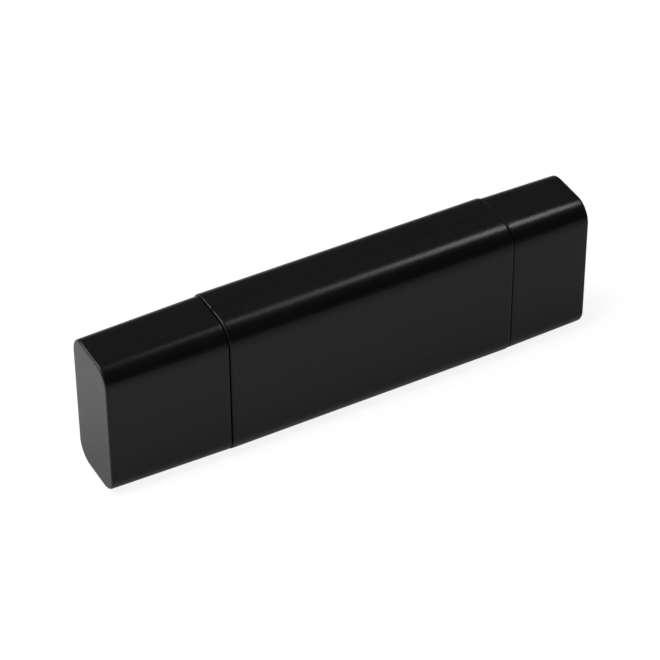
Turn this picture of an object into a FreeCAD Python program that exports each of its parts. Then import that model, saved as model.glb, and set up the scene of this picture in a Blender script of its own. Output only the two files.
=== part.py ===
import FreeCAD, Part
import math
import os

# A double-ended usb flash drive with a pull-off cap on each end, in millimetres.
#
# X runs along the drive, from the USB-A end at -X to the USB-C end at +X. Y runs through its
# thickness, with the front face at -Y. Z is up, across its width. The drive stands on one narrow
# side, and the origin is on that surface under the middle of the closed drive.
#
# Two moulded half shells meet on the plane Y = 0 and hold the circuit board in that plane. A neck
# at each end carries a cap, and a plug stands out of each neck.

# ---- driving dimensions ----
length = 66.0
width = 20.0
thickness = 10.0
edge_radius = 3.0
least_radius = 0.4
wall = 1.2
tiny = 1e-4
usb_a_cap_length = 16.0
usb_c_cap_length = 11.0

# caps
cap_gap = 0.12
cap_inset = 0.12
cap_draft = math.radians(1.0)
cap_end_radius = 0.3
cap_end_wall = 1.6
cap_mouth_chamfer = 0.1
cap_lead_in = 0.2
cap_sag = 0.08
cap_rib = 0.8
cap_rib_clearance = 0.15

# casing
shoulder_radius = 0.18
end_wall = 1.4
neck_length = 2.2
neck_clearance = 0.2
neck_wall = 1.0
neck_tip_radius = 0.25
bead_height = 0.1
bead_width = 0.5
parting_groove = 0.05
inner_rib = 0.8
rib_rooting = 0.4
board_rest = 0.7
cheek_gap = 0.3
stop_bite = 0.35
lip_height = 0.7
lip_thickness = 0.55
lip_clearance = 0.07
lip_end_gap = 3.4
post_radius = 1.2
pin_radius = 0.55
pin_height = 1.6
pin_clearance = 0.05

# board
board_thickness = 0.8
board_width = 15.6
board_edge_clearance = 0.02
tongue_length = 2.3

# USB-A plug, at its standard size
a_width = 12.0
a_height = 4.5
a_reach = 11.8
a_wall = 0.3
a_radius = 0.7
a_tail = 5.2
a_moulding_gap = 0.02
a_blade_top = -0.05
a_contact_gauge = 0.2
a_contact_width = 1.0
a_spring_gauge = 0.15
a_spring_width = 0.7
a_window = 2.5
a_window_setback = 5.2
a_seam = 0.06

# USB-C plug, at its standard size
c_width = 8.25
c_height = 2.4
c_reach = 6.6
c_wall = 0.2
c_radius = 1.15
c_tail = 3.7
c_moulding_gap = 0.02
c_mouth_width = 6.9
c_mouth_height = 1.3
c_mouth_depth = 6.2
c_pitch = 0.5
c_contact_gauge = 0.15
c_contact_width = 0.25
c_latch_gauge = 0.2
c_latch_arm = 0.3

plug_clearance = 0.05

# ---- places worked out from them ----
mid = width / 2
end_a = -length / 2
end_c = length / 2
shoulder_a = end_a + usb_a_cap_length
shoulder_c = end_c - usb_c_cap_length
mid_body = (shoulder_a + shoulder_c) / 2
neck_a = shoulder_a - neck_length
neck_c = shoulder_c + neck_length
neck_inset = cap_inset + wall + neck_clearance
cavity_a = shoulder_a + end_wall
cavity_c = shoulder_c - end_wall
cavity_half_y = thickness / 2 - wall
cavity_low = wall
cavity_high = width - wall
tip_a = neck_a - a_reach
tip_c = neck_c + c_reach
sleeve_a_rear = neck_a + a_tail
sleeve_c_rear = neck_c - c_tail
board_half = board_thickness / 2
board_low = mid - board_width / 2
board_high = mid + board_width / 2
board_a = sleeve_a_rear + 0.4
board_step = board_a + tongue_length
board_c = sleeve_c_rear - 1.2
tongue_half = a_width / 2 - a_wall - 0.1
pin_places = [(x, mid + side * 7.3) for x in (sleeve_a_rear + 0.4, sleeve_c_rear - 1.9) for side in (-1, 1)]
rib_stations = [-9.0, 3.5, 16.0]


# ---- helpers ----
def vec(x, y, z):
    return FreeCAD.Vector(x, y, z)


def box(x0, x1, y0, y1, z0, z1):
    """A block between two corners."""
    return Part.makeBox(x1 - x0, y1 - y0, z1 - z0, vec(x0, y0, z0))


def slab(x0, x1, side, near, far, z0, z1):
    """A block on one side of the parting plane (-1 front, 1 back), between two distances off it."""
    low, high = sorted((side * near, side * far))
    return box(x0, x1, low, high, z0, z1)


def plate(x, z, size_x, size_z, side, near, far):
    """A slab centred on a place on the board."""
    return slab(x - size_x / 2, x + size_x / 2, side, near, far, z - size_z / 2, z + size_z / 2)


def section(x, size_y, size_z, radius):
    """A rounded rectangle across the drive at x, as a closed wire."""
    arcs = []
    for i, (side_y, side_z) in enumerate([(1, 1), (-1, 1), (-1, -1), (1, -1)]):
        centre_y = side_y * (size_y / 2 - radius)
        centre_z = mid + side_z * (size_z / 2 - radius)
        points = []
        for turn in (0, 45, 90):
            angle = math.radians(90 * i + turn)
            points.append(vec(x, centre_y + radius * math.cos(angle), centre_z + radius * math.sin(angle)))
        arcs.append(Part.Arc(*points).toShape())
    edges = []
    for arc, after in zip(arcs, arcs[1:] + arcs[:1]):
        side = Part.LineSegment(arc.Vertexes[-1].Point, after.Vertexes[0].Point)
        edges += [arc, side.toShape()]
    return Part.Wire(edges)


def prism(x0, x1, size_y, size_z, radius):
    """A rounded-rectangle bar along X, centred on the drive's axis."""
    face = Part.Face(section(x0, size_y, size_z, radius))
    return face.extrude(vec(x1 - x0, 0, 0))


def inset_section(x, inset):
    """The casing's outline at x, set in by a depth."""
    radius = max(edge_radius - inset, least_radius)
    return section(x, thickness - 2 * inset, width - 2 * inset, radius)


def inset_prism(x0, x1, inset):
    """A bar whose surface lies a depth inside the casing's outer surface."""
    return Part.Face(inset_section(x0, inset)).extrude(vec(x1 - x0, 0, 0))


def strip(route, gauge, across, centre_z):
    """A bent metal strip of even gauge, whose middle follows the points (x, y) of a route."""
    normals = []
    for (x0, y0), (x1, y1) in zip(route, route[1:]):
        run = math.hypot(x1 - x0, y1 - y0)
        normals.append(((y0 - y1) / run, (x1 - x0) / run))
    upper = []
    lower = []
    for (x, y), (ax, ay), (bx, by) in zip(route, normals[:1] + normals, normals + normals[-1:]):
        mitre = gauge / 2 / (1 + ax * bx + ay * by)
        upper.append((x + mitre * (ax + bx), y + mitre * (ay + by)))
        lower.append((x - mitre * (ax + bx), y - mitre * (ay + by)))
    corners = [vec(x, y, centre_z - across / 2) for x, y in upper + lower[::-1]]
    return Part.Face(Part.makePolygon(corners + corners[:1])).extrude(vec(0, 0, across))


def fuse(shapes):
    """One solid out of several that overlap or touch."""
    whole = shapes[0]
    for shape in shapes[1:]:
        whole = whole.fuse(shape)
    return whole.removeSplitter()


def cut(shape, tools):
    """A shape with each of the tools taken out of it."""
    for tool in tools:
        shape = shape.cut(tool)
    return shape


def edges_at(shape, x):
    """The edges that lie wholly at one place along the drive."""
    return [e for e in shape.Edges if max(abs(e.BoundBox.XMin - x), abs(e.BoundBox.XMax - x)) < tiny]


def edges_on_side(shape, y):
    """The edges that lie wholly at one distance through the drive's thickness."""
    return [e for e in shape.Edges if max(abs(e.BoundBox.YMin - y), abs(e.BoundBox.YMax - y)) < tiny]


def save(name, shapes):
    """Writes one sub-part: a single solid, or a list of separate solids as one group."""
    solids = [solid for shape in shapes for solid in shape.Solids]
    kept = solids[0] if len(solids) == 1 else Part.makeCompound(solids)
    kept.exportStep("parts/" + name + ".step")
    volume = sum(solid.Volume for solid in solids)
    valid = all(solid.isValid() for solid in solids)
    print(f"{name:24s} {len(solids):3d} solids {volume:9.2f} mm3 valid {valid}")


# ---- casing ----
def casing_block():
    """The casing's outside: a bar with eased shoulders, a neck at each end, and the parting groove."""
    bar = inset_prism(shoulder_a, shoulder_c, 0)
    bar = bar.makeFillet(shoulder_radius, edges_at(bar, shoulder_a) + edges_at(bar, shoulder_c))
    necks = []
    for tip in (neck_a, neck_c):
        neck = inset_prism(tip, mid_body, neck_inset)
        necks.append(neck.makeFillet(neck_tip_radius, edges_at(neck, tip)))
    half = parting_groove
    grooves = []
    for z in (0, width):
        groove = box(shoulder_a, shoulder_c, -half, half, z - half, z + half)
        groove.rotate(vec(0, 0, z), vec(1, 0, 0), 45)
        grooves.append(groove)
    return cut(fuse([bar] + necks), grooves)


def grip_beads(side):
    """Low beads across one wide face of both necks, which grip the caps."""
    surface = thickness / 2 - neck_inset
    near, far = surface - bead_width, surface + bead_height
    bead_length = width - 2 * edge_radius - 2
    beads = []
    for x in (shoulder_a - neck_length / 2, shoulder_c + neck_length / 2):
        beads.append(plate(x, mid, bead_width, bead_length, side, near, far))
    return beads


def casing_hollow():
    """The space inside the casing and its necks, with the two plug openings."""
    gap = 2 * plug_clearance
    return [
        inset_prism(cavity_a, cavity_c, wall),
        inset_prism(neck_a + neck_wall, neck_c - neck_wall, neck_inset + neck_wall),
        prism(neck_a - 1, cavity_a, a_height + gap, a_width + gap, a_radius + plug_clearance),
        prism(cavity_c, neck_c + 1, c_height + gap, c_width + gap, c_radius + plug_clearance),
    ]


def shell_ribs(side):
    """The inside ribs of one shell: board rests, cheeks and saddles round the plugs, and plug stops."""
    root = cavity_half_y + rib_rooting
    ribs = []
    for x in rib_stations:
        x0, x1 = x - inner_rib / 2, x + inner_rib / 2
        rest = board_half + board_edge_clearance
        ribs.append(slab(x0, x1, side, rest, root, cavity_low - rib_rooting, board_low + board_rest))
        ribs.append(slab(x0, x1, side, rest, root, board_high - board_rest, cavity_high + rib_rooting))
    # round the USB-A plug: a saddle on the wide face and a cheek on each narrow face
    x0, x1 = cavity_a + 0.2, cavity_a + 0.2 + inner_rib
    low, high = cavity_low + 1.3, cavity_high - 1.3
    cheek = a_width / 2 + plug_clearance
    ribs.append(slab(x0, x1, side, a_height / 2 + plug_clearance, root, low, high))
    ribs.append(slab(x0, x1, side, cheek_gap, root, low, mid - cheek))
    ribs.append(slab(x0, x1, side, cheek_gap, root, mid + cheek, high))
    # behind each plug: a stop that takes the push when it goes into its socket
    stop = sleeve_a_rear + plug_clearance
    ribs.append(slab(stop, stop + inner_rib, side, a_height / 2 - a_wall - stop_bite, root, mid - 5, mid + 5))
    stop = sleeve_c_rear - plug_clearance
    ribs.append(slab(stop - inner_rib, stop, side, c_height / 2 - stop_bite / 2, root, mid - 3.6, mid + 3.6))
    # a saddle inside the short neck
    root = thickness / 2 - neck_inset - neck_wall + rib_rooting
    saddle = c_height / 2 + plug_clearance
    ribs.append(slab(shoulder_c - inner_rib, shoulder_c, side, saddle, root, mid - 5.2, mid + 5.2))
    return ribs


def posts(side, radius, near, far):
    """Round posts at the four locating points, from one distance off the parting plane to another."""
    direction = vec(0, side, 0)
    return [Part.makeCylinder(radius, far - near, vec(x, side * near, z), direction) for x, z in pin_places]


def half_shell(side):
    """One half of the casing, hollowed, with its ribs, posts and grip beads."""
    half_space = slab(-length, length, side, 0, thickness, -1, width + 1)
    outside = casing_block().common(half_space)
    inside_pieces = shell_ribs(side) + posts(side, post_radius, 0, cavity_half_y + rib_rooting)
    inside_pieces = [piece.common(outside) for piece in inside_pieces]
    return fuse([cut(outside, casing_hollow())] + inside_pieces + grip_beads(side))


def lips(clearance):
    """The lips along both narrow sides that key the shells together, grown all round by a clearance."""
    root = -rib_rooting if clearance == 0 else 0
    x0 = board_step - clearance
    x1 = cavity_c - lip_end_gap + clearance
    depth = lip_thickness + clearance
    return [
        box(x0, x1, root, lip_height + clearance, cavity_low - depth, cavity_low),
        box(x0, x1, root, lip_height + clearance, cavity_high, cavity_high + depth),
    ]


def front_shell():
    pins = posts(1, pin_radius, -rib_rooting, pin_height)
    return fuse([half_shell(-1)] + lips(0) + pins)


def back_shell():
    sockets = posts(1, pin_radius + pin_clearance, -tiny, pin_height + 0.2)
    return cut(half_shell(1), lips(lip_clearance) + sockets)


# ---- caps ----
def cap_loft(mouth, outward, near, far, extra_near, extra_far):
    """A drafted bar between two depths into a cap, its surface set in further than the cap's outside."""
    wires = []
    for depth, extra in ((near, extra_near), (far, extra_far)):
        inset = cap_inset + extra + depth * math.tan(cap_draft)
        wires.append(inset_section(mouth + outward * depth, inset))
    return Part.makeLoft(wires, True, True)


def cap(shoulder, end_x, plug_height, plug_width, plug_radius, rib_offsets):
    """A pull-off cap: a drafted shell, blind at the end, with ribs inside that guide the plug."""
    outward = 1 if end_x > shoulder else -1
    mouth = shoulder + outward * cap_gap
    depth = abs(end_x - mouth)
    floor = depth - cap_end_wall
    outside = cap_loft(mouth, outward, 0, depth, 0, 0)
    outside = outside.makeFillet(cap_end_radius, edges_at(outside, end_x))
    outside = outside.makeChamfer(cap_mouth_chamfer, edges_at(outside, mouth))
    hollow = cap_loft(mouth, outward, 0, floor, wall, wall)
    lead_in = cap_loft(mouth, outward, 0, cap_lead_in, wall - cap_lead_in, wall)
    rib_x = sorted((mouth + outward * (neck_length + 0.6), mouth + outward * (floor + rib_rooting)))
    ribs = [box(*rib_x, -cap_rib / 2, cap_rib / 2, 0, width)]
    for z in rib_offsets:
        ribs.append(box(*rib_x, -thickness / 2, thickness / 2, mid + z - cap_rib / 2, mid + z + cap_rib / 2))
    within = cap_loft(mouth, outward, 0, floor + rib_rooting, wall - rib_rooting, wall - rib_rooting)
    clearance = 2 * cap_rib_clearance
    plug_space = prism(*rib_x, plug_height + clearance, plug_width + clearance, plug_radius)
    ribs = [rib.common(within).cut(plug_space) for rib in ribs]
    whole = fuse([cut(outside, [hollow, lead_in])] + ribs)
    whole.translate(vec(0, 0, -cap_sag))
    return whole


def usb_a_cap():
    return cap(shoulder_a, end_a, a_height, a_width, a_radius, [-4.0, 4.0])


def usb_c_cap():
    return cap(shoulder_c, end_c, c_height, c_width, c_radius, [-5.0, -2.4, 2.4, 5.0])


# ---- USB-A plug ----
a_inner_y = a_height / 2 - a_wall - a_moulding_gap
a_inner_z = a_width / 2 - a_wall - 4 * a_moulding_gap
a_block_front = neck_a - 0.8
a_lead_drop = -0.9


def usb_a_sleeve():
    """Folded steel sleeve with two latch windows in each wide face, a dovetailed seam and two solder tabs."""
    outside = prism(tip_a, sleeve_a_rear, a_height, a_width, a_radius)
    outside = outside.makeChamfer(a_wall / 2, edges_at(outside, tip_a))
    hollow_height, hollow_width = a_height - 2 * a_wall, a_width - 2 * a_wall
    inside = prism(tip_a - 1, sleeve_a_rear + 1, hollow_height, hollow_width, a_radius - a_wall)
    tabs = []
    for side in (-1, 1):
        z = mid + side * (a_width - a_wall) / 2
        tabs.append(box(sleeve_a_rear - 0.5, board_step - 0.5, -0.6, 0.6, z - a_wall / 2, z + a_wall / 2))
    windows = []
    for z in (mid - 2.85, mid + 2.85):
        near = tip_a + a_window_setback
        window = box(near, near + 2.3, -a_height, a_height, z - a_window / 2, z + a_window / 2)
        corners = [e for e in window.Edges if e.BoundBox.YLength > a_height]
        windows.append(window.makeFillet(0.25, corners))
    return cut(fuse([outside.cut(inside)] + tabs), windows + [usb_a_seam()])


def usb_a_seam():
    """The slit where the folded steel meets, on the blade's side, stepping round one dovetail key."""
    key = tip_a + 7.8
    start = (tip_a - 0.1, 0)
    end = (sleeve_a_rear + 0.1, 0)
    turns = [start, (key, 0), (key - 0.4, 0.9), (key + 2.0, 0.9), (key + 1.6, 0), end]
    pieces = []
    for (xa, za), (xb, zb) in zip(turns, turns[1:]):
        run = math.hypot(xb - xa, zb - za)
        front = -a_height / 2
        bar = box(-a_seam / 2, run + a_seam / 2, front - 0.1, front + a_wall + 0.05, -a_seam / 2, a_seam / 2)
        bar.rotate(vec(0, 0, 0), vec(0, 1, 0), -math.degrees(math.atan2(zb - za, xb - xa)))
        bar.translate(vec(xa, 0, mid + za))
        pieces.append(bar)
    return fuse(pieces)


def usb_a_front_contacts():
    """Four flat contacts let into the blade; the outer two reach nearer the tip."""
    top = a_blade_top - 0.05
    tail = -board_half - a_contact_gauge / 2
    contacts = []
    for offset, setback in ((-3.5, 1.3), (-1.0, 2.1), (1.0, 2.1), (3.5, 1.3)):
        route = [
            (tip_a + setback, top),
            (a_block_front - 2.6, top),
            (a_block_front - 1.8, a_lead_drop),
            (sleeve_a_rear, a_lead_drop),
            (sleeve_a_rear + 0.22, tail),
            (board_a + 1.4, tail),
        ]
        contacts.append(strip(route, a_contact_gauge, a_contact_width, mid + offset))
    return contacts


def usb_a_rear_contacts():
    """Five sprung contacts that bow up behind the front ones."""
    tail = board_half + a_spring_gauge / 2
    route = [
        (a_block_front - 2.4, 0.06),
        (a_block_front - 1.5, 0.42),
        (a_block_front - 0.4, 0.18),
        (sleeve_a_rear, 0.18),
        (sleeve_a_rear + 0.22, tail),
        (board_a + 1.2, tail),
    ]
    return [strip(route, a_spring_gauge, a_spring_width, mid + z) for z in (-4, -2, 0, 2, 4)]


def usb_a_blade():
    """The plastic blade that fills the front half of the sleeve and carries the contacts."""
    block = box(tip_a + 0.3, sleeve_a_rear - 0.2, -a_inner_y, a_blade_top, mid - a_inner_z, mid + a_inner_z)
    keels = [e for e in edges_on_side(block, -a_inner_y) if e.BoundBox.XLength > 5]
    block = block.makeChamfer(0.4, keels)
    nose = [e for e in edges_on_side(block, a_blade_top) if e.BoundBox.XMax < tip_a + 0.4]
    block = block.makeChamfer(0.3, nose)
    return cut(block, usb_a_front_contacts())


def usb_a_rear_block():
    """The plastic block behind the open half of the sleeve, which holds the rear contacts."""
    block = box(a_block_front, sleeve_a_rear - 0.2, a_blade_top, a_inner_y, mid - a_inner_z, mid + a_inner_z)
    ridges = [e for e in edges_on_side(block, a_inner_y) if e.BoundBox.XLength > 5]
    return cut(block.makeChamfer(0.4, ridges), usb_a_rear_contacts())


# ---- USB-C plug ----
c_mouth_floor = tip_c - c_mouth_depth
c_block_front = c_mouth_floor - 1.0


def usb_c_lining(x0, x1):
    """A bar that fills the sleeve's inside but for a thin gap."""
    shrink = 2 * (c_wall + c_moulding_gap)
    return prism(x0, x1, c_height - shrink, c_width - shrink, c_radius - shrink / 2)


def usb_c_sleeve():
    """Drawn steel sleeve with two solder tabs on the board's back."""
    outside = prism(sleeve_c_rear, tip_c, c_height, c_width, c_radius)
    outside = outside.makeChamfer(c_wall / 2, edges_at(outside, tip_c))
    hollow_height, hollow_width = c_height - 2 * c_wall, c_width - 2 * c_wall
    inside = prism(sleeve_c_rear - 1, tip_c + 1, hollow_height, hollow_width, c_radius - c_wall)
    x0, x1 = board_c - 0.9, sleeve_c_rear + 0.15
    y0, y1 = board_half + 0.01, board_half + c_wall
    tabs = [box(x0, x1, y0, y1, z - 0.36, z + 0.36) for z in (mid - 3.62, mid + 3.62)]
    return fuse([outside.cut(inside)] + tabs)


def usb_c_contacts(side):
    """Twelve fine contacts on one side of the plug's mouth, each bowed towards the middle."""
    tail = side * (board_half + c_contact_gauge / 2)
    route = [
        (board_c - 1.0, tail),
        (c_mouth_floor + 0.6, tail),
        (tip_c - 2.1, side * 0.4),
        (tip_c - 0.9, side * 0.52),
    ]
    return [strip(route, c_contact_gauge, c_contact_width, mid + (i - 5.5) * c_pitch) for i in range(12)]


def usb_c_latch_plate():
    """Steel fork on the middle plane, whose two hooks click into the socket's tongue."""
    half_y = c_latch_gauge / 2
    outer = c_mouth_width / 2 - c_moulding_gap
    pieces = [box(sleeve_c_rear + 0.5, c_mouth_floor + 0.4, -half_y, half_y, mid - outer, mid + outer)]
    for side in (-1, 1):
        arm = outer - c_latch_arm / 2
        x0, x1 = c_mouth_floor, tip_c - 1.3
        low, high = sorted((mid + side * (outer - c_latch_arm), mid + side * outer))
        pieces.append(box(x0, x1, -half_y, half_y, low, high))
        low, high = sorted((mid + side * (arm - c_latch_arm), mid + side * arm))
        pieces.append(box(x1 - 1.0, x1 - 0.4, -half_y, half_y, low, high))
    return fuse(pieces)


def usb_c_ground_springs():
    """Two thin spring plates between the insulator and the sleeve."""
    near, far = c_height / 2 - c_wall - 0.14, c_height / 2 - c_wall - 0.04
    return [plate(tip_c - 2.8, mid, 3.2, 4.8, side, near, far) for side in (-1, 1)]


def usb_c_insulator():
    """The plastic lining of the plug's mouth."""
    mouth = prism(c_mouth_floor, tip_c + 1, c_mouth_height, c_mouth_width, 0.3)
    metal = [usb_c_latch_plate()] + usb_c_ground_springs() + usb_c_contacts(1) + usb_c_contacts(-1)
    return cut(usb_c_lining(c_block_front, tip_c - 0.3), [mouth] + metal)


def usb_c_rear_block():
    """The plastic block that holds the contacts where they leave the plug."""
    metal = [usb_c_latch_plate(), usb_c_sleeve()] + usb_c_contacts(1) + usb_c_contacts(-1)
    return cut(usb_c_lining(board_c + 0.5, c_block_front), metal)


# ---- board and its components ----
chip_standoff = 0.1
lead_gauge = 0.125
lead_width = 0.22
lead_pitch = 0.5
flash_x, flash_long, flash_wide, flash_high = 4.2, 18.4, 12.0, 1.0
controller_x, controller_side, controller_high = -3.5, 7.0, 1.4
component_body_share = 0.52
resistor_high = 0.35

# chip components on the board's front: (x, z, length along X, length along Z)
capacitor_places = (
    [(-10.0, mid + z, 1.0, 0.5) for z in (-4, -3, 3, 4)]
    + [(16.6, mid + z, 1.0, 0.5) for z in (-2, -1, 1, 2)]
    + [(x, 3.3, 0.8, 1.6) for x in (-6.6, -4.6, 5.6, 7.6)]
    + [(9.9, mid + z, 0.5, 1.0) for z in (-1.6, 0, 1.6)]
    + [(15.2, mid + z, 0.8, 1.6) for z in (-4, 4)]
)
resistor_places = (
    [(-10.0, mid + z, 1.0, 0.5) for z in (-0.6, 0.6)]
    + [(x, 16.4, 0.5, 1.0) for x in (-6.6, -5.4, -4.2, -3.0)]
    + [(x, 4.0, 0.5, 1.0) for x in (0.6, 1.8, 3.0)]
    + [(x, 16.2, 0.5, 1.0) for x in (6.4, 7.6)]
)


def circuit_board():
    """The board, with a narrow tongue at the USB-A end and notches round the locating posts."""
    main_part = box(board_step, board_c, -board_half, board_half, board_low, board_high)
    tongue = box(board_a, board_step, -board_half, board_half, mid - tongue_half, mid + tongue_half)
    notch_radius = post_radius + 0.15
    notches = [Part.makeCylinder(notch_radius, 2, vec(x, -1, z), vec(0, 1, 0)) for x, z in pin_places]
    return cut(fuse([main_part, tongue]), notches)


def chip_body(x, z, size_x, size_z, height, side, standoff):
    """A moulded chip on one side of the board, its top edges eased and a dimple at pin 1."""
    near = board_half + standoff
    top = near + height
    body = plate(x, z, size_x, size_z, side, near, top)
    body = body.makeChamfer(0.12, edges_on_side(body, side * top))
    corner = vec(x - size_x / 2 + 0.9, side * (top - 0.08), z - size_z / 2 + 0.9)
    return body.cut(Part.makeCylinder(0.3, 0.16, corner, vec(0, side, 0)))


def gull_wing(edge, side, height, centre_z, direction):
    """One lead: out of the chip's edge at half its height, down to the board and along it."""
    middle = board_half + chip_standoff + height / 2
    foot = board_half + lead_gauge / 2
    route = [(0, middle), (0.25, middle), (0.42, foot), (0.95, foot)]
    points = [(edge + direction * x, side * y) for x, y in route]
    return strip(points, lead_gauge, lead_width, centre_z)


def flash_chip():
    return chip_body(flash_x, mid, flash_long, flash_wide, flash_high, 1, chip_standoff)


def flash_chip_leads():
    """24 leads along each short end."""
    leads = []
    for direction in (-1, 1):
        edge = flash_x + direction * flash_long / 2
        for i in range(24):
            leads.append(gull_wing(edge, 1, flash_high, mid + (i - 11.5) * lead_pitch, direction))
    return leads


def controller_chip():
    return chip_body(controller_x, mid, controller_side, controller_side, controller_high, -1, chip_standoff)


def controller_chip_leads():
    """12 leads along each of the four sides."""
    edge = controller_x + controller_side / 2
    leads = []
    for quarter in range(4):
        for i in range(12):
            lead = gull_wing(edge, -1, controller_high, mid + (i - 5.5) * lead_pitch, 1)
            lead.rotate(vec(controller_x, 0, mid), vec(0, 1, 0), 90 * quarter)
            leads.append(lead)
    return leads


def port_switch_chip():
    return chip_body(6.4, mid, 4.0, 4.0, 0.75, -1, 0)


def voltage_regulator():
    return chip_body(12.6, 6.2, 3.0, 3.0, 0.85, -1, 0)


def power_inductor():
    """A wound ferrite drum between two square flanges."""
    x, z, height, flange = 12.6, 13.3, 1.2, 0.35
    top = board_half + height
    return fuse([
        plate(x, z, 2.6, 2.6, -1, board_half, board_half + flange),
        plate(x, z, 2.0, 2.0, -1, board_half, top),
        plate(x, z, 2.6, 2.6, -1, top - flange, top),
    ])


def crystal():
    """A clock crystal: a ceramic tray under a smaller metal lid."""
    x, z = 3.0, 15.15
    tray = plate(x, z, 3.2, 2.5, -1, board_half, board_half + 0.45)
    lid = plate(x, z, 2.8, 2.1, -1, board_half, board_half + 0.75)
    return fuse([tray, lid])


def component(place, height):
    """One chip component, as its body and its two metal ends."""
    x, z, size_x, size_z = place
    whole = plate(x, z, size_x, size_z, -1, board_half, board_half + height)
    if size_x > size_z:
        size_x *= component_body_share
    else:
        size_z *= component_body_share
    middle = plate(x, z, size_x, size_z, -1, board_half, board_half + height)
    return middle, whole.cut(middle)


def main():
    os.makedirs("parts", exist_ok=True)
    save("front_shell", [front_shell()])
    save("back_shell", [back_shell()])
    save("usb_a_cap", [usb_a_cap()])
    save("usb_c_cap", [usb_c_cap()])
    save("usb_a_sleeve", [usb_a_sleeve()])
    save("usb_a_blade", [usb_a_blade()])
    save("usb_a_rear_block", [usb_a_rear_block()])
    save("usb_a_front_contacts", usb_a_front_contacts())
    save("usb_a_rear_contacts", usb_a_rear_contacts())
    save("usb_c_sleeve", [usb_c_sleeve()])
    save("usb_c_insulator", [usb_c_insulator()])
    save("usb_c_rear_block", [usb_c_rear_block()])
    save("usb_c_upper_contacts", usb_c_contacts(1))
    save("usb_c_lower_contacts", usb_c_contacts(-1))
    save("usb_c_latch_plate", [usb_c_latch_plate()])
    save("usb_c_ground_springs", usb_c_ground_springs())
    save("circuit_board", [circuit_board()])
    save("flash_chip", [flash_chip()])
    save("flash_chip_leads", flash_chip_leads())
    save("controller_chip", [controller_chip()])
    save("controller_chip_leads", controller_chip_leads())
    save("port_switch_chip", [port_switch_chip()])
    save("voltage_regulator", [voltage_regulator()])
    save("power_inductor", [power_inductor()])
    save("crystal", [crystal()])
    capacitors = [component(place, min(place[2:])) for place in capacitor_places]
    resistors = [component(place, resistor_high) for place in resistor_places]
    save("capacitors", [body for body, ends in capacitors])
    save("resistors", [body for body, ends in resistors])
    save("component_ends", [ends for body, ends in capacitors + resistors])


main()
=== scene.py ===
import math

import bmesh
import bpy
import numpy as np
from bpy.props import FloatProperty, FloatVectorProperty, IntProperty, PointerProperty
from mathutils import Matrix, Vector


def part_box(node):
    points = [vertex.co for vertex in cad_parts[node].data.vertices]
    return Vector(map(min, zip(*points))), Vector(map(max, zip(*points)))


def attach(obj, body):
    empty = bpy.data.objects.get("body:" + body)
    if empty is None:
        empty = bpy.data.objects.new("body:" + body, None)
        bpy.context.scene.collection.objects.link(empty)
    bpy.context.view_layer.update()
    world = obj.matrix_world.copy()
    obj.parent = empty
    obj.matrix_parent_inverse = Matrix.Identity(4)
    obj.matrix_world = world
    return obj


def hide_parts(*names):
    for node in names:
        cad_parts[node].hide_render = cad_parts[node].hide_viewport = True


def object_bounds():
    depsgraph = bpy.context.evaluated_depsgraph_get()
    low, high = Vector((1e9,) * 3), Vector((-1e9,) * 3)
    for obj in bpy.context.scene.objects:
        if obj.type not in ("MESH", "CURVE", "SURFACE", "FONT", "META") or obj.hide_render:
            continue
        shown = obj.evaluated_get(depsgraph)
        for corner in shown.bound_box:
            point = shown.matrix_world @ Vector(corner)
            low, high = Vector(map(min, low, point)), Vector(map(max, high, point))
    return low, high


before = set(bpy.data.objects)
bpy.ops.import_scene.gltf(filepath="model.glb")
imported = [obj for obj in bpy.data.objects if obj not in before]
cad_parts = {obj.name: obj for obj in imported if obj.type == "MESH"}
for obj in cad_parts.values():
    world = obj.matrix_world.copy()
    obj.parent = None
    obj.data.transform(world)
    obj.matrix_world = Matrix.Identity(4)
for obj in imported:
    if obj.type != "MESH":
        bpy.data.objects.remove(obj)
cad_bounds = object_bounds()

bl_info = {
    "name": "Usb Flash Drive",
    "version": (1, 0, 0),
    "blender": (4, 5, 0),
    "location": "View3D > Sidebar > Flash Drive",
    "description": "Builds a double-ended usb flash drive with caps, plugs and a board",
    "category": "Add Mesh",
}

MM = 0.001
LOW, HIGH = (np.array(corner) for corner in cad_bounds)
HALF_Y = (HIGH[1] - LOW[1]) / 2
HALF_Z = (HIGH[2] - LOW[2]) / 2
MIDDLE = (LOW + HIGH) / 2


def corners(node):
    """A CAD node's lowest and highest corners, as arrays."""
    low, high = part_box(node)
    return np.array(low), np.array(high)


# ---- settings ----
def linear(hex_colour):
    """An sRGB hex colour such as #1a1a1a as linear (red, green, blue)."""
    values = np.array([int(hex_colour[i:i + 2], 16) for i in (1, 3, 5)]) / 255
    return tuple(np.where(values <= 0.04045, values / 12.92, ((values + 0.055) / 1.055) ** 2.4))


def size(name, description, default_mm):
    """A length property in metres, from its default in millimetres."""
    return FloatProperty(name=name, description=description, default=default_mm * MM, min=0, unit="LENGTH")


def plain(name, description, default):
    """A number without a unit, or in the unit that its description gives."""
    return FloatProperty(name=name, description=description, default=default, min=0)


def angle(name, description, default_degrees):
    """An angle property, from its default in degrees."""
    return FloatProperty(name=name, description=description, default=math.radians(default_degrees),
                         subtype="ANGLE")


def colour(name, description, hex_colour):
    """A colour property from an sRGB hex value."""
    return FloatVectorProperty(name=name, description=description, default=linear(hex_colour), min=0, max=1,
                               size=3, subtype="COLOR")


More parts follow.
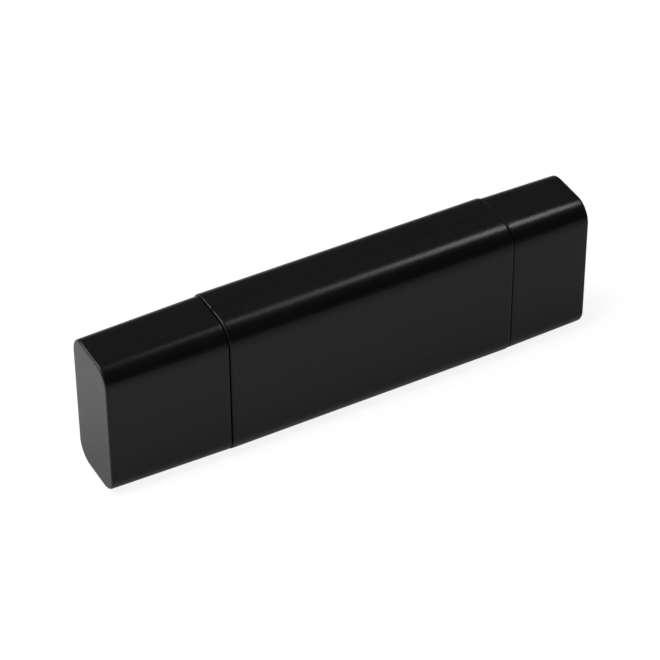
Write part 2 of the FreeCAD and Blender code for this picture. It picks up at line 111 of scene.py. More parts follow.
class DriveSizes(bpy.types.PropertyGroup):
    """Sizes of the drive's details. The casing's overall size comes from the CAD parts in model.glb."""

    edge_radius: size("Edge radius", "Rounding of the long edges", 3.0)
    least_radius: size("Least radius", "Smallest rounding inside a moulding", 0.4)
    wall: size("Wall", "Thickness of the mouldings", 1.2)
    shoulder_radius: size("Shoulder radius", "Easing of the casing's shoulders", 0.18)
    parting_easing: size("Parting easing", "Easing where the half shells meet", 0.03)
    end_wall: size("End wall", "Thickness behind the shoulders", 1.4)
    neck_length: size("Neck length", "Reach of the necks out of the casing", 2.2)
    neck_gap: size("Neck gap", "Clearance between a neck and its cap", 0.2)
    neck_wall: size("Neck wall", "Thickness of the necks", 1.0)
    neck_tip_radius: size("Neck tip radius", "Rounding of the necks' ends", 0.25)
    bead_height: size("Bead height", "Height of the grip beads", 0.1)
    bead_width: size("Bead width", "Width of the grip beads", 0.5)
    bead_margin: size("Bead margin", "From a bead's end to the neck's corner", 1.0)
    usb_a_corner: size("USB-A corner", "Corners of the USB-A opening", 0.7)
    usb_c_corner: size("USB-C corner", "Corners of the USB-C opening", 1.15)
    plug_gap: size("Plug gap", "Clearance round the plugs", 0.05)
    rib: size("Rib", "Thickness of the inner ribs", 0.8)
    root: size("Root", "Depth of ribs and posts into their walls", 0.4)
    board_gap: size("Board gap", "Clearance between the board and its rests", 0.02)
    board_hold: size("Board hold", "Overlap of the rests on the board", 0.7)
    cheek_place: size("Cheek place", "From the hollow's end to the cheeks", 0.6)
    cheek_gap: size("Cheek gap", "From the middle plane to the cheeks", 0.3)
    cheek_setback: size("Cheek setback", "From the narrow sides' roots to the cheeks", 1.7)
    saddle_margin: size("Saddle margin", "Reach of the USB-C saddle past the plug", 1.0)
    post_radius: size("Post radius", "Radius of the locating posts", 1.2)
    post_spread: size("Post spread", "From the drive's axis to the posts", 7.3)
    post_notch: size("Post notch", "From the board's USB-C end in to its posts", 0.7)
    post_gap: size("Post gap", "From the board's USB-A end in to its posts", 0.01)
    pin_radius: size("Pin radius", "Radius of the pins in the posts", 0.55)
    pin_reach: size("Pin reach", "Reach of the pins into the back shell", 1.6)
    cap_inset: size("Cap inset", "Step from the casing in to a cap's mouth", 0.12)
    cap_draft: angle("Cap draft", "Taper of the caps towards their closed ends", 1.0)
    cap_end_radius: size("Cap end radius", "Rounding of a cap's closed end", 0.3)
    cap_end_wall: size("Cap end wall", "Thickness of a cap's closed end", 1.6)
    cap_mouth_radius: size("Cap mouth radius", "Easing of a cap's mouth", 0.1)
    cap_lead_in: size("Cap lead-in", "Easing inside a cap's mouth", 0.2)
    cap_rib_gap: size("Cap rib gap", "Clearance between a cap's ribs and the plug", 0.15)
    cap_rib_setback: size("Cap rib setback", "From the neck's end to the ribs of its cap", 0.6)
    blade_radius: size("Blade radius", "Rounding of the USB-A blade", 0.3)
    block_radius: size("Block radius", "Rounding of the block behind the blade", 0.25)
    strip_gauge: size("Strip gauge", "Thickness of the USB-A front contacts", 0.2)
    strip_width: size("Strip width", "Width of the USB-A front contacts", 1.0)
    spring_gauge: size("Spring gauge", "Thickness of all the sprung contacts", 0.15)
    spring_width: size("Spring width", "Width of the USB-A rear contacts", 0.7)
    fine_width: size("Fine width", "Width of the USB-C contacts", 0.25)
    fine_pitch: size("Fine pitch", "Spacing of the USB-C contacts", 0.5)
    tail_run: size("Tail run", "Length of the USB-A contacts' step down", 0.42)
    arc_steps: IntProperty(name="Arc steps", description="Steps in each rounded corner", default=14, min=2)


class DriveColours(bpy.types.PropertyGroup):
    """Colours of the drive's materials."""

    casing: colour("Casing", "Black moulded plastic of the casing and caps", "#0e0e0f")
    steel: colour("Steel", "Plug sleeves", "#b9b8b4")
    blade: colour("Blade", "Plastic inside the plugs", "#19191b")
    gold: colour("Gold", "Plated contacts", "#dcae57")
    laminate: colour("Laminate", "Solder mask over bare board", "#0c3b27")
    trace: colour("Trace", "Solder mask over copper", "#1a5c3c")
    resin: colour("Resin", "Moulded chips", "#1b1b1d")
    tin: colour("Tin", "Tinned leads and end caps", "#c4c5c6")
    ceramic: colour("Ceramic", "Capacitor bodies", "#a67c52")
    resistor: colour("Resistor", "Glazed resistor bodies", "#17171a")
    ferrite: colour("Ferrite", "Inductor core", "#3a3a3d")
    floor: colour("Floor", "Floor under the drive", "#f4f4f3")


class DriveStage(bpy.types.PropertyGroup):
    """Where the camera stands, and how bright the sheets round the drive are."""

    azimuth: angle("Azimuth", "Turn of the camera round the drive", -28.41)
    elevation: angle("Elevation", "Height of the camera above the horizon", 39.83)
    roll: angle("Roll", "Turn of the camera about its own axis", -0.336)
    distance: size("Distance", "From the camera to the drive's middle", 380.3)
    slide: size("Slide", "Drive's place right of the picture's middle", 0.85)
    lift: size("Lift", "Drive's place above the picture's middle", 0.18)
    lens: plain("Lens", "Focal length in millimetres", 169.7)
    floor_glow: plain("Floor glow", "Light that the floor gives", 0.88)
    card_glow: plain("Card glow", "Light that the bounce card gives near the drive", 0.79)
    world_glow: plain("World glow", "Light that everything beyond the tent gives", 0.03)


# ---- surfaces ----
def spaced(start, end, count=5, ease=0.04):
    """Evenly spaced points along a straight run, and one close to each end that keeps its shading flat."""
    shares = np.concatenate([[0], np.linspace(ease, 1 - ease, count), [1]])
    return start + (end - start) * shares


def half_ring(half_y, half_z, radius, steps, easing=0.0):
    """Half a rounded rectangle as points (y, z), from the middle of the top round to the middle of the
    bottom. Easing cuts its two ends off at 45 degrees."""
    turn = np.linspace(0, np.pi / 2, steps + 1)
    arc_y = half_y - radius + radius * np.sin(turn)
    arc_z = half_z - radius + radius * np.cos(turn)
    flat = half_y - radius
    # the last point before the corner keeps the flat's shading flat
    top_y = np.array([0, easing or 0.05 * flat, 0.5 * flat, 0.94 * flat])
    top_z = np.full(len(top_y), half_z)
    top_z[0] -= easing
    side_z = spaced(half_z - radius, radius - half_z)[1:-1]
    y = np.concatenate([top_y, arc_y, np.full(len(side_z), half_y), arc_y[::-1], top_y[::-1]])
    z = np.concatenate([top_z, arc_z, side_z, -arc_z[::-1], -top_z[::-1]])
    return np.stack([y, z], axis=1)


def full_ring(half_y, half_z, radius, steps):
    """A whole rounded rectangle: a half ring, then its mirror image back up the other side."""
    half = half_ring(half_y, half_z, radius, steps)
    return np.concatenate([half, half[-2:0:-1] * (-1, 1)])


def stand(x, ring, centre_z=MIDDLE[2]):
    """A ring of (y, z) stood up across the drive at x."""
    return np.column_stack([np.full(len(ring), x), ring[:, 0], ring[:, 1] + centre_z])


def rounding(x, inward, inset, radius, steps=6):
    """Points (x, inset) round an outer edge, a quarter circle from the end face at x to the side."""
    turn = np.linspace(0, np.pi / 2, steps)
    return np.column_stack([x + inward * radius * (1 - np.cos(turn)), inset + radius * (1 - np.sin(turn))])


def grid_faces(rows, columns, close_rows=False, close_columns=True):
    """Faces between neighbouring points of a grid, whose rows or columns may join up end to end."""
    i = np.arange(rows if close_rows else rows - 1)[:, None]
    j = np.arange(columns if close_columns else columns - 1)[None, :]
    near, far = i * columns, (i + 1) % rows * columns
    after = (j + 1) % columns
    return np.stack([near + j, near + after, far + after, far + j], axis=-1).reshape(-1, 4)


def closed_skin(loops):
    """A closed surface over a stack of loops, each end drawn in to a pole at the loop's middle."""
    loops = np.array(loops)
    rows, columns, _ = loops.shape
    points = np.concatenate([loops.reshape(-1, 3), [loops[0].mean(axis=0), loops[-1].mean(axis=0)]])
    j = np.arange(columns)
    after = (j + 1) % columns
    last = (rows - 1) * columns
    pole = np.full(columns, rows * columns)
    start = np.column_stack([after, j, pole])
    end = np.column_stack([last + j, last + after, pole + 1])
    return points, [grid_faces(rows, columns), start, end]


def split_skin(loops):
    """A closed surface over a stack of open half loops whose last row joins the first. Where the half loops
    start and end, one flat face closes the wall."""
    loops = np.array(loops)
    rows, columns, _ = loops.shape
    start = np.arange(rows)[None, :] * columns
    return loops.reshape(-1, 3), [grid_faces(rows, columns, True, False), start, start[:, ::-1] + columns - 1]


def eased_box(low, high, radius=0.08 * MM, steps=2):
    """A block with rounded edges: a sphere cut into eighths, which are moved apart to the block's corners."""
    low, high = np.minimum(low, high), np.maximum(low, high)
    half = (high - low) / 2
    radius = min(radius, half.min() * 0.95)
    turn = np.linspace(0, np.pi / 2, steps + 1)
    around = np.concatenate([turn + quarter * np.pi / 2 for quarter in range(4)])
    side = np.repeat([[1, 1], [-1, 1], [-1, -1], [1, -1]], steps + 1, axis=0)
    lift = np.concatenate([-turn[::-1], turn])[:, None]
    end = np.repeat([-1, 1], steps + 1)[:, None]
    x = side[:, 0] * (half[0] - radius) + radius * np.cos(around) * np.cos(lift)
    y = side[:, 1] * (half[1] - radius) + radius * np.sin(around) * np.cos(lift)
    z = end * (half[2] - radius) + radius * np.sin(lift) + 0 * around
    return closed_skin(np.stack([x, y, z], axis=-1) + (low + high) / 2)


def post(x, z, near, far, radius, ease=0.1 * MM, steps=24):
    """A round post along Y with a rounded tip: circles whose radius shrinks round the tip's edge."""
    around = np.linspace(0, 2 * np.pi, steps, endpoint=False)
    turn = np.linspace(0, np.pi / 2, 4)
    along = np.concatenate([[near], far - math.copysign(ease, far - near) * (1 - np.sin(turn))])[:, None]
    spread = np.concatenate([[radius], radius - ease * (1 - np.cos(turn))])[:, None]
    circles = [x + spread * np.cos(around), along + 0 * around, z + spread * np.sin(around)]
    return closed_skin(np.stack(circles, axis=-1))


def held(route, reach=0.25 * MM):
    """A route with a point added each side of every corner, so that softening it keeps its straight runs."""
    route = np.array(route, float)
    runs = np.diff(route, axis=0)
    lengths = np.linalg.norm(runs, axis=1, keepdims=True)
    step = runs / lengths * np.minimum(reach, lengths / 3)
    points = [route[:1], (route[:-1] + step)[1:], route[1:-1], (route[1:] - step)[:-1], route[-1:]]
    inner = np.stack([points[3], points[2], points[1]], axis=1).reshape(-1, 2)
    return np.concatenate([points[0], inner, points[4]])


def softened(route, rounds=2, share=0.25):
    """A route whose corners are cut again and again, each cut taking the same share of both runs."""
    route = np.array(route, float)
    for _ in range(rounds):
        a, b = route[:-1], route[1:]
        cuts = np.stack([a + share * (b - a), b - share * (b - a)], axis=1).reshape(-1, 2)
        route = np.concatenate([route[:1], cuts[1:-1], route[-1:]])
    return route


def ribbon(route, gauge, across, centre_z, ease=0.25):
    """A strip of sheet metal: a rectangle with cut corners, carried square along a route of (x, y)."""
    route = softened(held(route))
    heading = np.gradient(route, axis=0)
    heading /= np.linalg.norm(heading, axis=1, keepdims=True)
    cut = gauge * ease
    u, v = gauge / 2, across / 2
    thick = np.array([u, u - cut, cut - u, -u, -u, cut - u, u - cut, u])
    wide = np.array([v - cut, v, v, v - cut, cut - v, -v, -v, cut - v])
    x = route[:, :1] - heading[:, 1:] * thick
    y = route[:, 1:] + heading[:, :1] * thick
    return closed_skin(np.stack([x, y, centre_z + wide + 0 * x], axis=-1))


def kept_within(surface, half_y, half_z, radius):
    """A surface whose points outside a rounded rectangle round the drive's axis are drawn in to it."""
    points, groups = surface
    corner = np.array([half_y - radius, half_z - radius])
    offset = points[:, 1:] - MIDDLE[1:]
    beyond = np.maximum(np.abs(offset) - corner, 0)
    reach = np.linalg.norm(beyond, axis=1, keepdims=True)
    beyond *= radius / np.maximum(reach, radius)
    points[:, 1:] = MIDDLE[1:] + np.sign(offset) * (np.minimum(np.abs(offset), corner) + beyond)
    return points, groups


def outward(surface):
    """A closed surface with its faces turned outwards, judged by the sign of the volume they enclose."""
    points, groups = surface
    points = points - points.mean(axis=0)
    volume = 0.0
    for group in groups:
        for j in range(1, group.shape[1] - 1):
            across = np.cross(points[group[:, j]], points[group[:, j + 1]])
            volume += np.einsum("ij,ij->", points[group[:, 0]], across)
    return surface[0], [group if volume > 0 else group[:, ::-1] for group in groups]


def mesh_object(name, points, faces, material):
    """A new mesh object with one material, linked to the scene."""
    mesh = bpy.data.meshes.new(name)
    mesh.from_pydata(points, [], faces)
    mesh.materials.append(material)
    made = bpy.data.objects.new(name, mesh)
    bpy.context.scene.collection.objects.link(made)
    return made


def piece(name, surfaces, body, material, replaces, sharp=40):
    """Joins closed surfaces into one named object that rides on a body, with its hard edges kept sharp."""
    points = []
    faces = []
    count = 0
    for surface in surfaces:
        surface_points, groups = outward(surface)
        points.append(surface_points)
        for group in groups:
            faces += (group + count).tolist()
        count += len(surface_points)
    made = mesh_object(name, np.concatenate(points), faces, material)
    merged = bmesh.new()
    merged.from_mesh(made.data)
    bmesh.ops.remove_doubles(merged, verts=merged.verts, dist=2e-7)
    bmesh.ops.dissolve_degenerate(merged, edges=merged.edges, dist=1e-7)
    merged.to_mesh(made.data)
    merged.free()
    made.data.shade_smooth()
    made.data.set_sharp_from_angle(angle=math.radians(sharp))
    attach(made, body)
    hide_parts(*replaces)
    return made


# ---- materials ----
def add(tree, kind, inputs=(), **settings):
    """Adds a node with its settings, and sets or links each of its inputs."""
    made = tree.nodes.new(kind)
    for key, value in settings.items():
        setattr(made, key, value)
    for key, value in dict(inputs).items():
        if isinstance(value, bpy.types.NodeSocket):
            tree.links.new(value, made.inputs[key])
        else:
            made.inputs[key].default_value = value
    return made


def calc(tree, operation, *values, kind="ShaderNodeMath"):
    """The result of one sum on numbers or sockets."""
    return add(tree, kind, dict(enumerate(values)), operation=operation).outputs[0]


def vector_calc(tree, operation, *values):
    """The result of one sum on vectors."""
    return calc(tree, operation, *values, kind="ShaderNodeVectorMath")


def blank_material(name, **constants):
    """A material with one Principled surface, and the object's own coordinates in millimetres."""
    material = bpy.data.materials.new(name)
    material.use_nodes = True
    tree = material.node_tree
    surface = tree.nodes["Principled BSDF"]
    for key, value in constants.items():
        surface.inputs[key.replace("_", " ")].default_value = value
    place = add(tree, "ShaderNodeTexCoord").outputs["Object"]
    return material, tree, surface, vector_calc(tree, "MULTIPLY", place, (1000, 1000, 1000))


def noise(tree, place, spacing, detail=2.0, stretch=(1, 1, 1)):
    """Noise whose lumps are about the given spacing apart, in millimetres, and stretched along the axes."""
    scaled = vector_calc(tree, "MULTIPLY", place, [1 / s for s in stretch])
    inputs = {"Vector": scaled, "Scale": 1 / spacing, "Detail": detail}
    return add(tree, "ShaderNodeTexNoise", inputs).outputs["Fac"]


def remap(tree, value, low, high, start=0.3, end=0.7):
    """A value carried from one range to another, and held there beyond its ends."""
    inputs = {"Value": value, "From Min": start, "From Max": end, "To Min": low, "To Max": high}
    return add(tree, "ShaderNodeMapRange", inputs).outputs["Result"]


def tint(tree, value, dark, light):
    """A mix between two colours, or a colour and a colour socket, by a value."""
    inputs = {0: value}
    for key, part in ((6, dark), (7, light)):
        inputs[key] = part if isinstance(part, bpy.types.NodeSocket) else (*part, 1)
    return add(tree, "ShaderNodeMix", inputs, data_type="RGBA").outputs[2]


def shade(base, factor):
    """A colour made lighter or darker by a factor."""
    return tuple(min(1.0, channel * factor) for channel in base)


def dress(tree, surface, base, roughness, heights):
    """Links a surface's colour and roughness, and a chain of bumps from (height, strength, depth in mm)."""
    tree.links.new(base, surface.inputs["Base Color"])
    tree.links.new(roughness, surface.inputs["Roughness"])
    inputs = {}
    for height, strength, depth in heights:
        inputs.update({"Height": height, "Strength": strength, "Distance": depth * MM})
        inputs["Normal"] = add(tree, "ShaderNodeBump", inputs).outputs["Normal"]
    tree.links.new(inputs["Normal"], surface.inputs["Normal"])


def spark_eroded_abs(colours):
    """Black ABS from a spark-eroded mould: near-black and satin, with a fine grain that frays highlights."""
    material, tree, surface, place = blank_material("spark_eroded_black_abs", IOR=1.24)
    cloudy = noise(tree, place, 6.0, detail=3)
    # the mould's grain is about 0.05 mm across; it is drawn near 0.15 mm so that it shows
    grain = noise(tree, place, 0.15, detail=2)
    # handling leaves hairline scratches along the drive, most of them too faint to see
    scratches = noise(tree, place, 0.12, detail=1, stretch=(60, 1, 1))
    scratched = remap(tree, scratches, 0, 1, start=0.66, end=0.72)
    base = tint(tree, cloudy, shade(colours.casing, 0.88), shade(colours.casing, 1.12))
    roughness = calc(tree, "ADD", remap(tree, cloudy, 0.26, 0.30), remap(tree, grain, -0.02, 0.03))
    dress(tree, surface, base, roughness, [(grain, 0.35, 0.004), (scratched, 0.1, -0.002)])
    return material


def nickel_plated_steel(colours):
    """Nickel-plated steel strip: bright and slightly warm, with rolling lines along the plug and rub marks
    from going in and out of a socket."""
    material, tree, surface, place = blank_material("nickel_plated_steel_strip", Metallic=1.0)
    lines = noise(tree, place, 0.08, detail=3, stretch=(40, 1, 1))
    rubs = noise(tree, place, 0.25, detail=4, stretch=(12, 1, 1))
    rubbed = remap(tree, rubs, 0, 1, start=0.56, end=0.7)
    cloudy = noise(tree, place, 2.5)
    base = tint(tree, cloudy, shade(colours.steel, 0.9), shade(colours.steel, 1.05))
    base = tint(tree, rubbed, base, shade(colours.steel, 0.88))
    roughness = calc(tree, "ADD", remap(tree, lines, 0.20, 0.29), remap(tree, rubbed, 0, 0.08, 0, 1))
    dress(tree, surface, base, roughness, [(lines, 0.2, 0.002), (rubbed, 0.08, -0.002)])
    return material


def gold_plate(colours):
    """Hard gold flash over nickel: smooth and warm, a little duller where the socket has wiped it."""
    material, tree, surface, place = blank_material("gold_plated_bronze", Metallic=1.0)
    wiped = noise(tree, place, 0.3, detail=3, stretch=(6, 1, 1))
    grain = noise(tree, place, 0.05)
    base = tint(tree, wiped, shade(colours.gold, 0.86), colours.gold)
    dress(tree, surface, base, remap(tree, wiped, 0.18, 0.32), [(grain, 0.1, 0.001)])
    return material


def glass_filled_nylon(colours):
    """Black glass-filled nylon: matt, with short pale fibres just under the skin that lie along the flow."""
    material, tree, surface, place = blank_material("glass_filled_nylon", IOR=1.5)
    fibres = noise(tree, place, 0.06, detail=1, stretch=(8, 1, 1))
    shown = remap(tree, fibres, 0, 1, start=0.64, end=0.72)
    cloudy = noise(tree, place, 1.5)
    base = tint(tree, cloudy, shade(colours.blade, 0.85), shade(colours.blade, 1.15))
    base = tint(tree, shown, base, shade(colours.blade, 2.2))
    dress(tree, surface, base, remap(tree, cloudy, 0.42, 0.52), [(fibres, 0.2, 0.004)])
    return material


def solder_mask(colours):
    """Glass-epoxy board under green solder mask: glossy, with bundles of lighter raised tracks that turn from
    patch to patch, broad copper pours between them, and tinned holes whose middles are painted shade."""
    material, tree, surface, place = blank_material("green_solder_mask_on_glass_epoxy", IOR=1.5)
    laid_flat = add(tree, "ShaderNodeMapping", {"Vector": place, "Rotation": (math.pi / 2, 0, 0)}).outputs[0]
    axes = add(tree, "ShaderNodeSeparateXYZ", {0: place}).outputs
    # 0.2 mm tracks stand 0.5 mm apart, along the board in some patches and across it in others
    half_pitch = 0.25
    along = calc(tree, "PINGPONG", axes["Z"], half_pitch)
    across = calc(tree, "PINGPONG", axes["X"], half_pitch)
    inputs = {"Vector": laid_flat, "Scale": 1 / 4.5}
    patch = add(tree, "ShaderNodeTexVoronoi", inputs, distance="CHEBYCHEV").outputs["Color"]
    turned = remap(tree, patch, 0, 1, start=0.55, end=0.56)
    nearest = add(tree, "ShaderNodeMix", {0: turned, 2: along, 3: across}, data_type="FLOAT").outputs[0]
    tracks = remap(tree, nearest, 1, 0, start=0.09, end=0.12)
    poured = remap(tree, noise(tree, laid_flat, 5.0, detail=0), 0, 1, start=0.55, end=0.56)
    copper = calc(tree, "MAXIMUM", tracks, poured)
    holes = add(tree, "ShaderNodeTexVoronoi", {"Vector": laid_flat, "Scale": 1 / 2.4}).outputs["Distance"]
    tinned = remap(tree, holes, 1, 0, start=0.10, end=0.115)
    # painted shade: each hole's middle is painted near-black where the hole would be dark
    painted_hole_shade = remap(tree, holes, 1, 0, start=0.045, end=0.055)
    weave = noise(tree, place, 0.4, detail=1)
    base = tint(tree, copper, colours.laminate, colours.trace)
    base = tint(tree, tinned, base, colours.tin)
    base = tint(tree, painted_hole_shade, base, (0.004, 0.004, 0.004))
    dress(tree, surface, base, remap(tree, weave, 0.22, 0.34), [(copper, 0.5, 0.03), (weave, 0.15, 0.01)])
    return material


def grained(name, base_colour, spacing, shades, gloss, bump, **constants):
    """One colour, whose fine grain varies its shade, its gloss and, by (strength, depth), its height."""
    material, tree, surface, place = blank_material(name, **constants)
    grain = noise(tree, place, spacing, detail=3)
    base = tint(tree, grain, shade(base_colour, shades[0]), shade(base_colour, shades[1]))
    dress(tree, surface, base, remap(tree, grain, *gloss), [(grain, *bump)])
    return material


def finish(node, material):
    """Gives a CAD node a material in each of its slots."""
    for material_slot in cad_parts[node].material_slots:
        material_slot.material = material


# ---- pieces ----
class DRIVE_OT_half_shells(bpy.types.Operator):
    """Builds the casing's two half shells, which meet on the middle plane and carry a neck at each end"""

    bl_idname = "drive.half_shells"
    bl_label = "Half Shells"

    # where the board's rests stand, as shares of the hollow's length
    REST_PLACES = (0.18, 0.53, 0.87)

    def execute(self, context):
        sizes = context.scene.drive_sizes
        material = spark_eroded_abs(context.scene.drive_colours)
        for node, side in (("front_shell", -1), ("back_shell", 1)):
            surfaces = [self.wall(sizes, side), *self.beads(sizes, side), *self.ribs(sizes, side)]
            surfaces += self.posts(sizes, side, node == "front_shell")
            piece(node + "_moulding", surfaces, "drive", material, [node])
        return {"FINISHED"}

    @staticmethod
    def places(sizes):
        """Where the necks end, the shoulders stand and the hollow ends, along X."""
        low, high = corners("front_shell")
        tips = np.array([low[0], high[0]])
        shoulders = tips + np.array([1, -1]) * sizes.neck_length
        return tips, shoulders, shoulders + np.array([1, -1]) * sizes.end_wall

    @classmethod
    def wall(cls, sizes, side):
        """A closed profile carried round half the casing's outline: along the outside from neck to neck, and
        back through the hollow. Its points are (x, half height, half width, corner radius, easing)."""
        tips, shoulders, hollow = cls.places(sizes)
        neck_inset = sizes.cap_inset + sizes.wall + sizes.neck_gap
        shoulder_r = sizes.shoulder_radius
        straight = spaced(shoulders[0] + shoulder_r, shoulders[1] - shoulder_r, ease=0.008)[1:-1]
        along = np.column_stack([straight, np.zeros(len(straight))])
        # rows close beside each corner keep the shading of the flats between them flat
        beside, above = 0.1 * MM, 0.15 * MM
        near, far = [np.concatenate([
            rounding(tip, inward, neck_inset, sizes.neck_tip_radius),
            [(shoulder - inward * beside, neck_inset), (shoulder, neck_inset),
             (shoulder, neck_inset + above), (shoulder, shoulder_r + beside)],
            rounding(shoulder, inward, 0, shoulder_r),
        ]) for tip, shoulder, inward in zip(tips, shoulders, (1, -1))]
        outside = np.concatenate([near, along, far[::-1]])
        stations = [(x, *cls.inset_outline(sizes, inset), sizes.parting_easing) for x, inset in outside]
        opening_a = cls.opening(sizes, "usb_a_sleeve", sizes.usb_a_corner)
        opening_c = cls.opening(sizes, "usb_c_sleeve", sizes.usb_c_corner)
        passage = cls.inset_outline(sizes, neck_inset + sizes.neck_wall)
        room = cls.inset_outline(sizes, sizes.wall)
        inner_a, inner_c = tips + np.array([1, -1]) * sizes.neck_wall
        inside = [
            (tips[1], opening_c), (inner_c, opening_c), (inner_c, passage), (hollow[1], passage),
            (hollow[1], room), (hollow[0], room), (hollow[0], passage), (inner_a, passage),
            (inner_a, opening_a), (tips[0], opening_a),
        ]
        stations += [(x, *outline, 0) for x, outline in inside]
        loops = []
        for x, half_y, half_z, radius, easing in stations:
            ring = half_ring(half_y, half_z, radius, sizes.arc_steps, easing)
            loops.append(stand(x, ring * (side, 1)))
        return split_skin(loops)

    @staticmethod
    def inset_outline(sizes, inset):
        """Half height, half width and corner radius of the casing's outline, set in by a depth."""
        return HALF_Y - inset, HALF_Z - inset, max(sizes.edge_radius - inset, sizes.least_radius)

    @staticmethod
    def opening(sizes, node, radius):
        """The same three measures of the opening round a plug's sleeve."""
        low, high = corners(node)
        return (high[1] - low[1]) / 2 + sizes.plug_gap, (high[2] - low[2]) / 2 + sizes.plug_gap, radius

    @classmethod
    def beads(cls, sizes, side):
        """A low rounded bead across each neck's wide face, to grip the cap."""
        tips, shoulders, _ = cls.places(sizes)
        surface = HALF_Y - sizes.cap_inset - sizes.wall - sizes.neck_gap
        half_length = HALF_Z - sizes.edge_radius - sizes.bead_margin
        beads = []
        for x in (tips + shoulders) / 2:
            low = (x - sizes.bead_width / 2, side * (surface - sizes.bead_width), MIDDLE[2] - half_length)
            high = (x + sizes.bead_width / 2, side * (surface + sizes.bead_height), MIDDLE[2] + half_length)
            beads.append(eased_box(low, high, sizes.bead_height, steps=3))
        return beads

    @classmethod
    def ribs(cls, sizes, side):
        """Ribs inside a shell: rests along both edges of the board, cheeks beside the USB-A plug and saddles
        over both plugs. Each block is (middle x, near y, far y, low z, high z)."""
        _, shoulders, hollow = cls.places(sizes)
        board_low, board_high = corners("circuit_board")
        a_low, a_high = corners("usb_a_sleeve")
        c_low, c_high = corners("usb_c_sleeve")
        root = HALF_Y - sizes.wall + sizes.root
        floor, ceiling = LOW[2] + sizes.wall - sizes.root, HIGH[2] - sizes.wall + sizes.root
        rest = board_high[1] + sizes.board_gap
        blocks = []
        for share in cls.REST_PLACES:
            x = hollow[0] + share * (hollow[1] - hollow[0])
            blocks.append((x, rest, root, floor, board_low[2] + sizes.board_hold))
            blocks.append((x, rest, root, board_high[2] - sizes.board_hold, ceiling))
        x = hollow[0] + sizes.cheek_place
        low_z, high_z = floor + sizes.cheek_setback, ceiling - sizes.cheek_setback
        blocks.append((x, sizes.cheek_gap, root, low_z, a_low[2] - sizes.plug_gap))
        blocks.append((x, sizes.cheek_gap, root, a_high[2] + sizes.plug_gap, high_z))
        blocks.append((x, a_high[1] + sizes.plug_gap, root, low_z, high_z))
        x = shoulders[1] - sizes.rib / 2
        neck_root = root - sizes.cap_inset - sizes.neck_gap - sizes.neck_wall
        low_z, high_z = c_low[2] - sizes.saddle_margin, c_high[2] + sizes.saddle_margin
        blocks.append((x, c_high[1] + sizes.plug_gap, neck_root, low_z, high_z))
        limit = cls.inset_outline(sizes, sizes.wall / 2)
        return [kept_within(eased_box((x - sizes.rib / 2, side * near, low_z),
                                      (x + sizes.rib / 2, side * far, high_z)), *limit)
                for x, near, far, low_z, high_z in blocks]

    @staticmethod
    def posts(sizes, side, with_pins):
        """Four round posts up to the middle plane. Pins on the front shell's stand into the back's."""
        low, high = corners("circuit_board")
        made = []
        for x in (low[0] + sizes.post_gap, high[0] - sizes.post_notch):
            for z in (MIDDLE[2] - sizes.post_spread, MIDDLE[2] + sizes.post_spread):
                made.append(post(x, z, side * (HALF_Y - sizes.wall + sizes.root), 0, sizes.post_radius))
                if with_pins:
                    made.append(post(x, z, -sizes.root, sizes.pin_reach, sizes.pin_radius))
        return made


